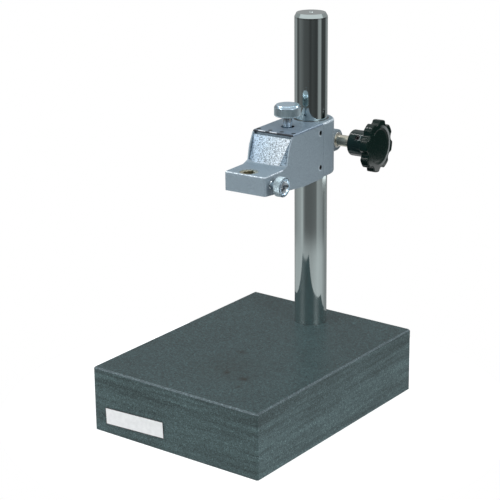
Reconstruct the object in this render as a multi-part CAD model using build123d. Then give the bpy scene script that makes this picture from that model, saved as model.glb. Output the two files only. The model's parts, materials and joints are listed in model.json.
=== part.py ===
from build123d import *
import math
import os

# Comparator stand: a granite base, a chromed column and a split bracket whose arm holds a gauge.
# Lengths are in millimetres. X points right, Y to the back and Z up.
# The origin is the centre of the granite's underside.
# The bracket's pieces are drawn in the bracket's own frame, which has its origin where the
# column's axis meets the bracket's underside, and are placed and swung on the column at the end.

# Clearances
running_clearance = 0.05
seat_clearance = 0.03
cut_overrun = 1.0

# Granite base
base_width = 150.0
base_depth = 200.0
base_height = 50.0
base_top_chamfer = 1.2
base_corner_chamfer = 1.0
column_setback = 28.0
column_y = base_depth / 2 - column_setback

# Name plate on the front face, left bare
name_plate_width = 55.0
name_plate_height = 13.0
name_plate_thickness = 0.4
name_plate_corner = 0.8
name_plate_left_margin = 11.0
name_plate_bottom_margin = 8.3
name_plate_tilt = 2.4

# Column
column_radius = 12.5
column_rise = 243.5
column_seat_depth = 15.0
column_tip_length = 2.8
column_tip_inset = 1.5
column_foot_chamfer = 1.0
centre_mark_radius = 1.6
centre_mark_depth = 2.4
column_seat_z = base_height - column_seat_depth
column_top_z = base_height + column_rise

# Bolt under the column
column_bolt_radius = 5.0
column_bolt_grip = 23.0
column_bolt_head_radius = 8.0
column_bolt_head_height = 10.0
column_bolt_socket_radius = 4.6
column_bolt_socket_depth = 5.0
column_bolt_play = 0.5
column_thread_runout = 2.0
bolt_recess_radius = 11.0
bolt_recess_depth = 18.0
column_washer_radius = 10.0
column_washer_thickness = 2.0
column_bolt_length = column_washer_thickness + column_seat_z - bolt_recess_depth + column_bolt_grip

# Bracket as a whole
bracket_rest_height = 171.0
bracket_swing = 3.2
bracket_height = 42.4
bracket_width = 35.0
bracket_rounding = 2.0
seam_reach = 10.4
seam_gap = 0.2
half_width = bracket_width / 2

# Split sleeve between the column and the clamp body
liner_wall = 0.95
liner_slit = 2.0
liner_inner_radius = column_radius + running_clearance
liner_outer_radius = liner_inner_radius + liner_wall
clamp_bore_radius = liner_outer_radius + running_clearance
column_relief = 0.5
column_relief_radius = clamp_bore_radius + column_relief

# Clamp ears behind the column
split_width = 2.5
ear_radius = 8.2
ear_setback = 22.7
ear_half_span = 9.7
ear_height = bracket_height / 2

# Clamp spindle, its washer and the star knob
clamp_thread_radius = 4.0
clamp_thread_end_margin = 0.5
clamp_hole_play = 0.3
clamp_washer_radius = 6.0
clamp_washer_thickness = 1.0
spindle_radius = 4.35
spindle_length = 12.9
spigot_radius = 3.5
spigot_length = 13.5
hub_radius = 10.0
hub_length = 16.9
hub_rounding = 1.5
star_radius = 20.0
star_thickness = 6.8
star_lobes = 8
star_phase = -12.0
star_notch_radius = 4.0
star_notch_offset = 1.4
star_corner_rounding = 1.5
star_edge_rounding = 0.9
star_dish_radius = 14.0
star_dish_depth = 0.9
star_dish_slope = 1.6
hub_screw_radius = 2.0
hub_screw_angle = 51.0
hub_screw_reach_share = 0.5
hub_screw_recess = 0.6
hub_screw_socket_radius = 1.15
hub_screw_socket_depth = 1.8
washer_x = ear_half_span
shoulder_x = washer_x + clamp_washer_thickness
hub_x = shoulder_x + spindle_length

# Top plate over the front half, and its screws
top_plate_thickness = 1.4
top_plate_reach = 53.0
top_plate_chamfer = 0.5
top_plate_screw_count = 4
top_plate_screw_margin = 2.5
top_plate_screw_radius = 1.0
top_plate_screw_length = 5.0
top_plate_screw_head_radius = 1.75
top_plate_screw_head_height = 0.8
top_plate_screw_slot_width = 0.45
top_plate_screw_slot_depth = 0.4
top_plate_screw_spacing = (bracket_width - 2 * top_plate_screw_margin) / (top_plate_screw_count - 1)
casting_top = bracket_height - top_plate_thickness

# Arm casting
arm_reach = 91.0
arm_deck_height = 19.4
arm_nose_bottom = 5.2
arm_nose_rounding = 1.6
arm_deck_chamfer = 0.6
underside_flat_reach = 38.0
ramp_foot_reach = 66.0
cheek_foot_reach = 61.0
cheek_foot_height = 21.2
cheek_knee_reach = 58.6
cheek_knee_height = 32.0
cheek_top_reach = 53.7
cheek_thickness = 3.0
floor_thickness = 5.0
front_bar_thickness = 6.9
front_bar_reach = 50.9
cavity_reach = front_bar_reach - front_bar_thickness
top_plate_screw_reach = front_bar_reach - top_plate_screw_head_radius - seam_gap

# Rough cast web between the cheeks
web_lip = 0.9
web_groove_height = 1.7
web_top_reach = 54.0
web_foot_reach = 62.5
web_foot_half_width = 10.8
web_top_facet = 0.5
web_facet_setback = 2.2
web_half_width = half_width - web_lip
web_top_height = casting_top - web_groove_height

# Fine adjustment
fine_travel = 0.5
fine_reach = 33.0
fine_stem_radius = 3.5
fine_collar_radius = 4.8
fine_collar_height = 1.2
fine_hole_radius = 5.2
fine_stem_rise = 8.4
fine_knob_radius = 10.0
fine_knob_rim_height = 6.2
fine_knob_crown_height = 2.3
fine_knob_crown_radius = 6.9
fine_thread_radius = 3.0
fine_thread_end_margin = 0.6
fine_nut_radius = 5.0
fine_clip_radius = 4.6
fine_clip_thickness = 0.8
fine_clip_groove_depth = 0.45
fine_clip_opening = 3.2
travel_margin = 0.4
tongue_clearance = 0.06
tongue_gap = 0.6
spring_pocket_radius = 6.7
spring_pocket_height = 10.0
spring_wire_radius = 0.5
spring_mean_radius = 5.65
spring_turns = 5
spring_end_gap = 0.1
tongue_half_width = half_width - cheek_thickness - tongue_clearance
tongue_bottom = floor_thickness + fine_travel + travel_margin
tongue_top = casting_top - fine_travel - travel_margin
tongue_reach = cavity_reach - tongue_gap
pocket_ceiling = tongue_bottom + spring_pocket_height

# Dog point screws through the cheeks, which guide the arm and stop it at its limits
side_screw_setback = 14.6
side_screw_low_height = 9.1
side_screw_top_depth = 6.7
side_screw_high_height = bracket_height - side_screw_top_depth
side_screw_radius = 1.5
side_screw_recess = 0.3
side_screw_dog_radius = 0.95
side_screw_dog_length = 1.7
side_screw_socket_radius = 0.85
side_screw_socket_depth = 1.2
side_slot_end_play = 0.1
side_slot_depth_play = 0.4
side_screw_heights = (side_screw_low_height, side_screw_high_height)

# Knurling on the fine screw and on the stem clamp screw
knurl_pitch = 1.1
knurl_depth = 0.35
knurl_chamfer = 0.5

# Gauge stem hole with its split bush
stem_setback = 8.0
stem_reach = arm_reach - stem_setback
stem_offset = -1.5
stem_radius = 4.0
stem_bush_wall = 3.0
stem_bush_slit = 1.2
stem_bush_length = 14.0
stem_bush_recess = 0.4
stem_bush_radius = stem_radius + stem_bush_wall

# Stem clamp screw and its pad
stem_screw_height = 12.2
stem_screw_radius = 3.0
stem_screw_neck = 5.8
stem_screw_pad_length = 3.0
stem_screw_pad_gap = 0.1
stem_screw_head_radius = 7.3
stem_screw_head_length = 6.0
stem_screw_dish_radius = 5.7
stem_screw_dish_depth = 0.9
stem_screw_slot_width = 1.2
stem_screw_slot_depth = 1.0
pad_x = stem_offset + stem_bush_radius + stem_screw_pad_gap
stem_screw_x = pad_x + stem_screw_pad_length
stem_head_x = half_width + stem_screw_neck


def block(x0, x1, y0, y1, z0, z1):
    """Box between two corners."""
    return Pos(x0, y0, z0) * Box(x1 - x0, y1 - y0, z1 - z0, align=(Align.MIN, Align.MIN, Align.MIN))


def upright(radius, z0, z1, x=0, y=0):
    """Round bar along Z."""
    return Pos(x, y, z0) * Cylinder(radius, z1 - z0, align=(Align.CENTER, Align.CENTER, Align.MIN))


def crosswise(radius, x0, x1, y, z):
    """Round bar along X."""
    bar = Cylinder(radius, x1 - x0, align=(Align.CENTER, Align.CENTER, Align.MIN))
    return Pos(x0, y, z) * Rot(0, 90, 0) * bar


def crosswise_ring(outer, inner, x0, x1, y, z):
    """Ring along X."""
    hole = crosswise(inner, x0 - cut_overrun, x1 + cut_overrun, y, z)
    return crosswise(outer, x0, x1, y, z) - hole


def turned(outline):
    """Solid of revolution about Z from points (radius, height)."""
    return revolve(make_face(Polyline([(r, 0, z) for r, z in outline], close=True)), Axis.Z)


def hexagon_socket(radius, depth):
    """Hexagonal hole that goes down from z = 0."""
    return extrude(Pos(0, 0, -depth) * RegularPolygon(radius, 6), depth + cut_overrun)


def knurled_bar(radius, length):
    """Straight knurled round bar along Z, from z = 0, with both rims chamfered."""
    ridges = round(2 * math.pi * radius / knurl_pitch)
    rim = []
    for i in range(2 * ridges):
        r = radius - knurl_depth * (i % 2)
        turn = math.pi * i / ridges
        rim.append((r * math.cos(turn), r * math.sin(turn)))
    bar = extrude(make_face(Polyline(rim, close=True)), length)
    envelope = turned([
        (0, 0),
        (radius - knurl_chamfer, 0),
        (radius, knurl_chamfer),
        (radius, length - knurl_chamfer),
        (radius - knurl_chamfer, length),
        (0, length),
    ])
    return bar & envelope


def on_bracket(shape):
    """Moves a shape from the bracket's own frame to its place on the column."""
    return Pos(0, column_y, bracket_rest_height) * Rot(0, 0, bracket_swing) * shape


# Base

def granite_base():
    plate = block(-base_width / 2, base_width / 2, -base_depth / 2, base_depth / 2, 0, base_height)
    plate = chamfer(plate.edges().filter_by(Axis.Z), base_corner_chamfer)
    plate = chamfer(plate.faces().sort_by(Axis.Z)[-1].edges(), base_top_chamfer)
    seat = upright(column_radius + seat_clearance, column_seat_z, base_height + cut_overrun, y=column_y)
    passage = upright(column_bolt_radius + column_bolt_play, 0, column_seat_z + cut_overrun, y=column_y)
    recess = upright(bolt_recess_radius, -cut_overrun, bolt_recess_depth, y=column_y)
    return plate - seat - passage - recess


def name_plate():
    outline = RectangleRounded(name_plate_width, name_plate_height, name_plate_corner)
    sheet = extrude(outline, name_plate_thickness)
    x = -base_width / 2 + name_plate_left_margin + name_plate_width / 2
    z = name_plate_bottom_margin + name_plate_height / 2
    return Pos(x, -base_depth / 2, z) * Rot(90, 0, 0) * Rot(0, 0, name_plate_tilt) * sheet


def column():
    foot = column_seat_z
    bolt_top = bolt_recess_depth - column_washer_thickness + column_bolt_length
    shaft = turned([
        (0, foot),
        (column_radius - column_foot_chamfer, foot),
        (column_radius, foot + column_foot_chamfer),
        (column_radius, column_top_z - column_tip_length),
        (column_radius - column_tip_inset, column_top_z),
        (centre_mark_radius, column_top_z),
        (0, column_top_z - centre_mark_depth),
    ])
    thread_hole = upright(
        column_bolt_radius + seat_clearance, foot - cut_overrun, bolt_top + column_thread_runout
    )
    return Pos(0, column_y, 0) * (shaft - thread_hole)


def column_washer():
    top = bolt_recess_depth
    ring = upright(column_washer_radius, top - column_washer_thickness, top, y=column_y)
    return ring - upright(column_bolt_radius + column_bolt_play, 0, top + cut_overrun, y=column_y)


def column_bolt():
    head_top = bolt_recess_depth - column_washer_thickness
    head_bottom = head_top - column_bolt_head_height
    bolt = upright(column_bolt_head_radius, head_bottom, head_top)
    bolt += upright(column_bolt_radius, head_top, head_top + column_bolt_length)
    socket = hexagon_socket(column_bolt_socket_radius, column_bolt_socket_depth)
    return Pos(0, column_y, 0) * (bolt - Pos(0, 0, head_bottom) * Rot(180, 0, 0) * socket)


# Rear half of the bracket

def clamp_liner():
    sleeve = upright(liner_outer_radius, 0, bracket_height)
    sleeve -= upright(liner_inner_radius, -cut_overrun, bracket_height + cut_overrun)
    slit = block(
        -liner_slit / 2, liner_slit / 2, 0, liner_outer_radius + cut_overrun,
        -cut_overrun, bracket_height + cut_overrun,
    )
    return sleeve - slit


def clamp_shell():
    """Full height part of the clamp body: square in front, half round behind."""
    shell = block(-half_width, half_width, -seam_reach, 0, 0, bracket_height)
    round_end = upright(half_width, 0, bracket_height)
    shell += round_end - block(-half_width, half_width, -half_width, 0, 0, bracket_height)
    rims = shell.faces().sort_by(Axis.Z)[0].edges() + shell.faces().sort_by(Axis.Z)[-1].edges()
    return fillet([edge for edge in rims if edge.center().Y > -seam_reach / 2], bracket_rounding)


def clamp_ears():
    ears = crosswise(ear_radius, -ear_half_span, ear_half_span, ear_setback, ear_height)
    ears += block(
        -ear_half_span, ear_half_span, half_width / 2, ear_setback,
        ear_height - ear_radius, ear_height + ear_radius,
    )
    return ears


def side_slots():
    """Short upright slots in the tongue's sides for the dog points."""
    depth = side_screw_dog_length - tongue_clearance + side_slot_depth_play
    half_slot = side_screw_dog_radius + running_clearance
    half_length = side_screw_dog_radius + fine_travel + side_slot_end_play
    slots = []
    for side in (-1, 1):
        for height in side_screw_heights:
            inner = side * (tongue_half_width - depth)
            outer = side * (tongue_half_width + cut_overrun)
            slots.append(block(
                min(inner, outer), max(inner, outer),
                -side_screw_setback - half_slot, -side_screw_setback + half_slot,
                height - half_length, height + half_length,
            ))
    return slots


def clamp_body():
    body = clamp_shell() + clamp_ears()
    body += block(
        -tongue_half_width, tongue_half_width, -tongue_reach, -seam_reach, tongue_bottom, tongue_top
    )
    body -= upright(clamp_bore_radius, -cut_overrun, bracket_height + cut_overrun)
    body -= block(
        -split_width / 2, split_width / 2, 0, ear_setback + ear_radius + cut_overrun,
        -cut_overrun, bracket_height + cut_overrun,
    )
    body -= crosswise(
        clamp_thread_radius + running_clearance, -ear_half_span - cut_overrun, 0, ear_setback, ear_height
    )
    body -= crosswise(
        clamp_thread_radius + clamp_hole_play, 0, ear_half_span + cut_overrun, ear_setback, ear_height
    )
    body -= upright(
        fine_stem_radius + running_clearance, tongue_bottom, tongue_top + cut_overrun, y=-fine_reach
    )
    body -= upright(spring_pocket_radius, tongue_bottom - cut_overrun, pocket_ceiling, y=-fine_reach)
    for slot in side_slots():
        body -= slot
    return body


# Clamp spindle and star knob

def clamp_washer():
    inner = clamp_thread_radius + clamp_hole_play
    return crosswise_ring(clamp_washer_radius, inner, washer_x, shoulder_x, ear_setback, ear_height)


def clamp_spindle():
    thread_end = -ear_half_span + clamp_thread_end_margin
    spindle = crosswise(clamp_thread_radius, thread_end, shoulder_x, ear_setback, ear_height)
    spindle += crosswise(spindle_radius, shoulder_x, hub_x, ear_setback, ear_height)
    spindle += crosswise(spigot_radius, hub_x, hub_x + spigot_length, ear_setback, ear_height)
    return spindle


def star_disc():
    """Lobed disc along Z, from z = 0 at the hub's side, with a dished outer face."""
    disc = upright(star_radius, 0, star_thickness)
    for i in range(star_lobes):
        turn = math.radians(star_phase + 360 * (i + 0.5) / star_lobes)
        reach = star_radius + star_notch_offset
        disc -= upright(
            star_notch_radius, -cut_overrun, star_thickness + cut_overrun,
            x=reach * math.cos(turn), y=reach * math.sin(turn),
        )
    disc = fillet(disc.edges().filter_by(Axis.Z), star_corner_rounding)
    rims = disc.faces().sort_by(Axis.Z)[0].edges() + disc.faces().sort_by(Axis.Z)[-1].edges()
    disc = fillet(rims, star_edge_rounding)
    dish = turned([
        (0, star_thickness - star_dish_depth),
        (star_dish_radius - star_dish_slope, star_thickness - star_dish_depth),
        (star_dish_radius, star_thickness),
        (star_dish_radius, star_thickness + cut_overrun),
        (0, star_thickness + cut_overrun),
    ])
    return disc - dish


def hub_screw_place():
    """Frame of the screw in the hub, with +Z pointing out along the screw."""
    x = hub_x + hub_length * hub_screw_reach_share
    return Pos(x, ear_setback, ear_height) * Rot(hub_screw_angle, 0, 0)


def clamp_knob():
    hub = upright(hub_radius, 0, hub_length)
    hub = fillet(hub.faces().sort_by(Axis.Z)[0].edges(), hub_rounding)
    knob = hub + Pos(0, 0, hub_length) * star_disc()
    knob -= upright(spigot_radius + seat_clearance, -cut_overrun, spigot_length + seat_clearance)
    knob = Pos(hub_x, ear_setback, ear_height) * Rot(0, 90, 0) * knob
    return knob - hub_screw_place() * upright(hub_screw_radius + seat_clearance, 0, hub_radius + cut_overrun)


def knob_set_screw():
    outer = hub_radius - hub_screw_recess
    screw = upright(hub_screw_radius, spigot_radius + seat_clearance, outer)
    screw -= Pos(0, 0, outer) * hexagon_socket(hub_screw_socket_radius, hub_screw_socket_depth)
    return hub_screw_place() * screw


# Front half of the bracket

def casting_outline():
    """Side view of the arm casting, as points (y, z)."""
    return [
        (-seam_reach - seam_gap, 0),
        (-underside_flat_reach, 0),
        (-arm_reach, arm_nose_bottom),
        (-arm_reach, arm_deck_height),
        (-ramp_foot_reach, arm_deck_height),
        (-cheek_foot_reach, cheek_foot_height),
        (-cheek_knee_reach, cheek_knee_height),
        (-cheek_top_reach, casting_top),
        (-seam_reach - seam_gap, casting_top),
    ]


def casting_blank():
    side_view = make_face(Polyline([(-half_width, y, z) for y, z in casting_outline()], close=True))
    blank = extrude(side_view, bracket_width, dir=(1, 0, 0))
    nose = [edge for edge in blank.edges().filter_by(Axis.Z) if edge.center().Y < -ramp_foot_reach]
    blank = fillet(nose, arm_nose_rounding)
    deck = [
        edge for edge in blank.edges()
        if abs(edge.center().Z - arm_deck_height) < seam_gap
        and edge.center().Y < -ramp_foot_reach - seam_gap
    ]
    return chamfer(deck, arm_deck_chamfer)


def web_outline(front_reach, front_half_width, facet_setback, height):
    """Plan of the web at one height."""
    facet_reach = front_reach - facet_setback
    corners = [
        (-web_half_width, -front_bar_reach),
        (-web_half_width, -facet_reach),
        (-front_half_width, -front_reach),
        (front_half_width, -front_reach),
        (web_half_width, -facet_reach),
        (web_half_width, -front_bar_reach),
    ]
    return make_face(Polyline([(x, y, height) for x, y in corners], close=True))


def web():
    foot = web_outline(web_foot_reach, web_foot_half_width, web_facet_setback, arm_deck_height)
    top = web_outline(web_top_reach, web_half_width - web_top_facet, web_top_facet, web_top_height)
    return loft([foot.face(), top.face()], ruled=True)


def arm_casting():
    inner = half_width - cheek_thickness
    casting = casting_blank()
    casting -= block(
        -web_half_width, web_half_width, -ramp_foot_reach, -front_bar_reach,
        cheek_foot_height, casting_top + cut_overrun,
    )
    casting += web()
    casting -= block(
        -inner, inner, -cavity_reach, 0, floor_thickness, casting_top + cut_overrun
    )
    casting -= upright(column_relief_radius, -cut_overrun, casting_top)
    casting -= upright(fine_nut_radius + seat_clearance, -cut_overrun, casting_top, y=-fine_reach)
    casting -= upright(
        stem_bush_radius + seat_clearance, 0, arm_deck_height + cut_overrun, x=stem_offset, y=-stem_reach
    )
    casting -= crosswise(
        stem_screw_radius + running_clearance, stem_offset, half_width + cut_overrun,
        -stem_reach, stem_screw_height,
    )
    for height in side_screw_heights:
        casting -= crosswise(
            side_screw_radius + seat_clearance, -half_width - cut_overrun, half_width + cut_overrun,
            -side_screw_setback, height,
        )
    for x in top_plate_screw_places():
        casting -= upright(
            top_plate_screw_radius + seat_clearance, casting_top - top_plate_screw_length,
            casting_top + cut_overrun, x=x, y=-top_plate_screw_reach,
        )
    return casting


def top_plate_screw_places():
    """X of each screw in the row."""
    first = -top_plate_screw_spacing * (top_plate_screw_count - 1) / 2
    return [first + top_plate_screw_spacing * i for i in range(top_plate_screw_count)]


def countersink(play):
    """Cone under a screw head that lies flush with z = 0."""
    return turned([
        (0, -top_plate_screw_head_height),
        (top_plate_screw_radius + play, -top_plate_screw_head_height),
        (top_plate_screw_head_radius + play, 0),
        (0, 0),
    ])


def top_plate():
    plate = block(
        -half_width, half_width, -top_plate_reach, -seam_reach - seam_gap, casting_top, bracket_height
    )
    top_edges = plate.faces().sort_by(Axis.Z)[-1].edges().sort_by(Axis.Y)
    plate = chamfer(top_edges[:-1], top_plate_chamfer)
    plate -= upright(column_relief_radius, 0, bracket_height + cut_overrun)
    plate -= upright(fine_hole_radius, 0, bracket_height + cut_overrun, y=-fine_reach)
    for x in top_plate_screw_places():
        plate -= upright(
            top_plate_screw_radius + seat_clearance, 0, bracket_height + cut_overrun,
            x=x, y=-top_plate_screw_reach,
        )
        plate -= Pos(x, -top_plate_screw_reach, bracket_height) * countersink(seat_clearance)
    return plate


def top_plate_screw(x):
    screw = countersink(0)
    screw += upright(top_plate_screw_radius, -top_plate_screw_length, 0)
    screw -= block(
        -top_plate_screw_head_radius, top_plate_screw_head_radius,
        -top_plate_screw_slot_width / 2, top_plate_screw_slot_width / 2,
        -top_plate_screw_slot_depth, cut_overrun,
    )
    return Pos(x, -top_plate_screw_reach, bracket_height) * screw


def side_screw(side, height):
    """Dog point set screw in a cheek, pointing inwards."""
    inner = half_width - cheek_thickness
    outer = half_width - side_screw_recess
    screw = upright(side_screw_radius, inner, outer)
    screw += upright(side_screw_dog_radius, inner - side_screw_dog_length, inner)
    screw -= Pos(0, 0, outer) * hexagon_socket(side_screw_socket_radius, side_screw_socket_depth)
    return Pos(0, -side_screw_setback, height) * Rot(0, 90 * side, 0) * screw


def side_screws():
    return [side_screw(side, height) for side in (-1, 1) for height in side_screw_heights]


# Fine adjustment

def fine_screw():
    thread_end = fine_thread_end_margin
    collar_top = tongue_top + fine_collar_height
    knob_bottom = bracket_height + fine_stem_rise
    crown_bottom = knob_bottom + fine_knob_rim_height
    crown_top = crown_bottom + fine_knob_crown_height
    clip_bottom = pocket_ceiling - running_clearance - fine_clip_thickness
    screw = upright(fine_thread_radius, thread_end, pocket_ceiling)
    screw += upright(fine_stem_radius, pocket_ceiling, knob_bottom)
    screw += upright(fine_collar_radius, tongue_top, collar_top)
    screw += Pos(0, 0, knob_bottom) * knurled_bar(fine_knob_radius, fine_knob_rim_height)
    screw += turned([
        (0, crown_bottom),
        (fine_knob_radius - knurl_chamfer, crown_bottom),
        (fine_knob_crown_radius, crown_top),
        (0, crown_top),
    ])
    groove = upright(fine_thread_radius + cut_overrun, clip_bottom, pocket_ceiling - running_clearance)
    groove -= upright(fine_thread_radius - fine_clip_groove_depth, clip_bottom, pocket_ceiling)
    return Pos(0, -fine_reach, 0) * (screw - groove)


def fine_clip():
    top = pocket_ceiling - running_clearance
    clip = upright(fine_clip_radius, top - fine_clip_thickness, top)
    inner = fine_thread_radius - fine_clip_groove_depth + seat_clearance
    clip -= upright(inner, tongue_bottom, pocket_ceiling)
    clip -= block(
        0, fine_clip_radius + cut_overrun, -fine_clip_opening / 2, fine_clip_opening / 2,
        tongue_bottom, pocket_ceiling,
    )
    return Pos(0, -fine_reach, 0) * clip


def fine_nut():
    nut = upright(fine_nut_radius, 0, floor_thickness, y=-fine_reach)
    hole = upright(fine_thread_radius + running_clearance, -cut_overrun, casting_top, y=-fine_reach)
    return nut - hole


def return_spring():
    margin = spring_wire_radius + spring_end_gap
    low = floor_thickness + margin
    high = pocket_ceiling - margin
    path = Helix((high - low) / spring_turns, high - low, spring_mean_radius)
    wire = Plane(origin=path @ 0, z_dir=path % 0) * Circle(spring_wire_radius)
    return Pos(0, -fine_reach, low) * sweep(wire, path=path, is_frenet=True)


# Gauge stem clamp

def stem_bush():
    top = arm_deck_height - stem_bush_recess
    bottom = top - stem_bush_length
    bush = upright(stem_bush_radius, bottom, top)
    bush -= upright(stem_radius, bottom - cut_overrun, top + cut_overrun)
    bush -= block(
        -stem_bush_slit / 2, stem_bush_slit / 2, 0, stem_bush_radius + cut_overrun,
        bottom - cut_overrun, top + cut_overrun,
    )
    return Pos(stem_offset, -stem_reach, 0) * bush


def stem_clamp_pad():
    return crosswise(stem_screw_radius, pad_x, stem_screw_x, -stem_reach, stem_screw_height)


def stem_clamp_screw():
    screw = upright(stem_screw_radius, stem_screw_x, stem_head_x)
    head = knurled_bar(stem_screw_head_radius, stem_screw_head_length)
    face = stem_screw_head_length
    dish_floor = face - stem_screw_dish_depth
    head -= turned([
        (0, dish_floor),
        (stem_screw_dish_radius - stem_screw_dish_depth, dish_floor),
        (stem_screw_dish_radius, face),
        (stem_screw_dish_radius, face + cut_overrun),
        (0, face + cut_overrun),
    ])
    head -= block(
        -stem_screw_slot_width / 2, stem_screw_slot_width / 2,
        -stem_screw_dish_radius + stem_screw_dish_depth, stem_screw_dish_radius - stem_screw_dish_depth,
        dish_floor - stem_screw_slot_depth, face,
    )
    screw += Pos(0, 0, stem_head_x) * head
    return Pos(0, -stem_reach, stem_screw_height) * Rot(0, 90, 0) * screw


def write_node(name, *solids):
    """Writes one node, which can hold several separate solids."""
    shape = solids[0] if len(solids) == 1 else Compound(children=list(solids))
    shape.label = name
    export_step(shape, f"parts/{name}.step")
    print(name, "solids", len(shape.solids()), "volume", round(shape.volume, 1))


def main():
    os.makedirs("parts", exist_ok=True)
    fixed = {
        "granite_base": [granite_base()],
        "name_plate": [name_plate()],
        "column": [column()],
        "column_washer": [column_washer()],
        "column_bolt": [column_bolt()],
    }
    bracket = {
        "clamp_liner": [clamp_liner()],
        "clamp_body": [clamp_body()],
        "clamp_washer": [clamp_washer()],
        "clamp_spindle": [clamp_spindle()],
        "clamp_knob": [clamp_knob()],
        "knob_set_screw": [knob_set_screw()],
        "arm_casting": [arm_casting()],
        "top_plate": [top_plate()],
        "top_plate_screws": [top_plate_screw(x) for x in top_plate_screw_places()],
        "side_screws": side_screws(),
        "fine_screw": [fine_screw()],
        "fine_clip": [fine_clip()],
        "fine_nut": [fine_nut()],
        "return_spring": [return_spring()],
        "stem_bush": [stem_bush()],
        "stem_clamp_pad": [stem_clamp_pad()],
        "stem_clamp_screw": [stem_clamp_screw()],
    }
    for name, solids in fixed.items():
        write_node(name, *solids)
    for name, solids in bracket.items():
        write_node(name, *[on_bracket(solid) for solid in solids])


main()
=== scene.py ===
import json
import math

import bmesh
import bpy
from bpy.props import FloatProperty, FloatVectorProperty, IntProperty, PointerProperty
from bpy.types import Operator, Panel, PropertyGroup
from mathutils import Matrix, Vector

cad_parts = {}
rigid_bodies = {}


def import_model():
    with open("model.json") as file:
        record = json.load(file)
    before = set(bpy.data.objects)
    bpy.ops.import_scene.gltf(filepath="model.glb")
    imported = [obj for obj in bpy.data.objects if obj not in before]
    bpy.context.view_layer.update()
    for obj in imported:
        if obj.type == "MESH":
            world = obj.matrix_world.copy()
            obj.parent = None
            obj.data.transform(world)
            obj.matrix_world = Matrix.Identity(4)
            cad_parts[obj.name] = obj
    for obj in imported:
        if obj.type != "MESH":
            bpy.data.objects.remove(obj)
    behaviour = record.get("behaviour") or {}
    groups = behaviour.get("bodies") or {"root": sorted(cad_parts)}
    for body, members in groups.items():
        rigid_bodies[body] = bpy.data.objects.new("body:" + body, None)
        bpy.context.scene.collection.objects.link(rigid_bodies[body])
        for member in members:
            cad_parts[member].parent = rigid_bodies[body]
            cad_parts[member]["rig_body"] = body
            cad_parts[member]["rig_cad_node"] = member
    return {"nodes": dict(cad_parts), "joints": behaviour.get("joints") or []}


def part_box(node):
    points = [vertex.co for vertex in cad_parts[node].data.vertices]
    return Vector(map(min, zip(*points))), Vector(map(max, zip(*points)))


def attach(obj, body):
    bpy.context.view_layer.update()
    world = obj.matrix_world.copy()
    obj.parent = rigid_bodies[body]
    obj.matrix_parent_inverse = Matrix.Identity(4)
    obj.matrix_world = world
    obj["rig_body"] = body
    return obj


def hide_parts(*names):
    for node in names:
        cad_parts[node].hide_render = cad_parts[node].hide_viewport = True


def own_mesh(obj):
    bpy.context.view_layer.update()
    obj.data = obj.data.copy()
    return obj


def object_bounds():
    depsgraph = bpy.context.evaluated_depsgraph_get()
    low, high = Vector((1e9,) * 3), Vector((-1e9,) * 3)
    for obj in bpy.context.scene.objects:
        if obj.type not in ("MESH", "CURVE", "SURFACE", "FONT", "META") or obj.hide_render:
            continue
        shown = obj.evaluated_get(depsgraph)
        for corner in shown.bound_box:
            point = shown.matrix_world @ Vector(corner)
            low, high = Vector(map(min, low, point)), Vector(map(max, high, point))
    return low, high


bl_info = {
    "name": "Comparator Stand",
    "version": (1, 0, 0),
    "blender": (4, 5, 0),
    "location": "3D View > Sidebar > Stand",
    "description": "Finishes the pieces of a granite comparator stand and sets up its studio",
    "category": "Object",
}

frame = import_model()
cad_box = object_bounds()

MM = 0.001
# A face looks along an axis where its normal's share of that axis is above this
STRAIGHT = 0.9
# Corners of the CAD's triangles that are closer together than this are one
MERGE_DISTANCE = 0.002 * MM

# Places from the frame. In the bracket's own directions X runs across it, Y to its back and Z up.
JOINTS = {joint["name"]: joint for joint in frame["joints"]}
COLUMN_FOOT = Vector(JOINTS["bracket_swivel"]["pos_m"]) * Vector((1, 1, 0))
CROSSWISE = Vector(JOINTS["clamp_travel"]["axis"])
SWING = math.atan2(CROSSWISE.y, CROSSWISE.x)
BRACKET_FOOT = COLUMN_FOOT + Vector((0, 0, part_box("clamp_body")[0].z))
BRACKET = Matrix.Translation(BRACKET_FOOT) @ Matrix.Rotation(SWING, 4, "Z")
SIDEWAYS = Matrix.Rotation(math.pi / 2, 4, "Y")
SPINDLE = BRACKET @ Matrix.Translation((0, 22.7 * MM, 21.2 * MM)) @ SIDEWAYS
FINE_SCREW = BRACKET @ Matrix.Translation((0, -33 * MM, 0))
STEM_SCREW = BRACKET @ Matrix.Translation((0, -83 * MM, 12.2 * MM)) @ SIDEWAYS
PLATE_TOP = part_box("granite_base")[1].z
BODIES = {name: node["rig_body"] for name, node in frame["nodes"].items()}

# Sizes that the looks and the web follow. Those on the bracket are measured from its foot, and those on the
# knob along the spindle from the bracket's middle.
CHEEK_SCREW_ROW = -(BRACKET.inverted() @ (sum(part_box("side_screws"), Vector()) / 2)).y
CHEEK_SCREW_HEIGHTS = (9.1 * MM, 35.7 * MM)
CHEEK_EDGE_REACH, CHEEK_EDGE_FOOT = 51 * MM, 20.5 * MM
DECK_HEIGHT, WEB_TOP_HEIGHT = 19.4 * MM, 39.3 * MM
WEB_END, WEB_FOOT_CORNER, WEB_TOP_CORNER = 16.6 * MM, 10.8 * MM, 16.1 * MM
PLATE_SCREW_SPACING = 10 * MM
HUB_END, KNOB_FACE, STAR_RADIUS = 40.4 * MM, 46.3 * MM, 20 * MM
HUB_SCREW_MOUTH = Vector((32.05 * MM, 15.55 * MM, 27.26 * MM))
COLUMN_END = 4 * MM
LABEL_HEIGHT, LABEL_LINE, LABEL_TILT = 13 * MM, 0.42 * MM, math.radians(2.4)

# Worn marks on the plate, in millimetres: across, out, their reach, and how strong they are
WORN_MARKS = (
    (12, -52.5, 9, 0.90), (29.5, -55, 10, 0.95), (-3, -14.7, 8.5, 0.70), (35.1, -69, 6, 0.75),
    (8, -46, 56, 0.36))

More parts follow.
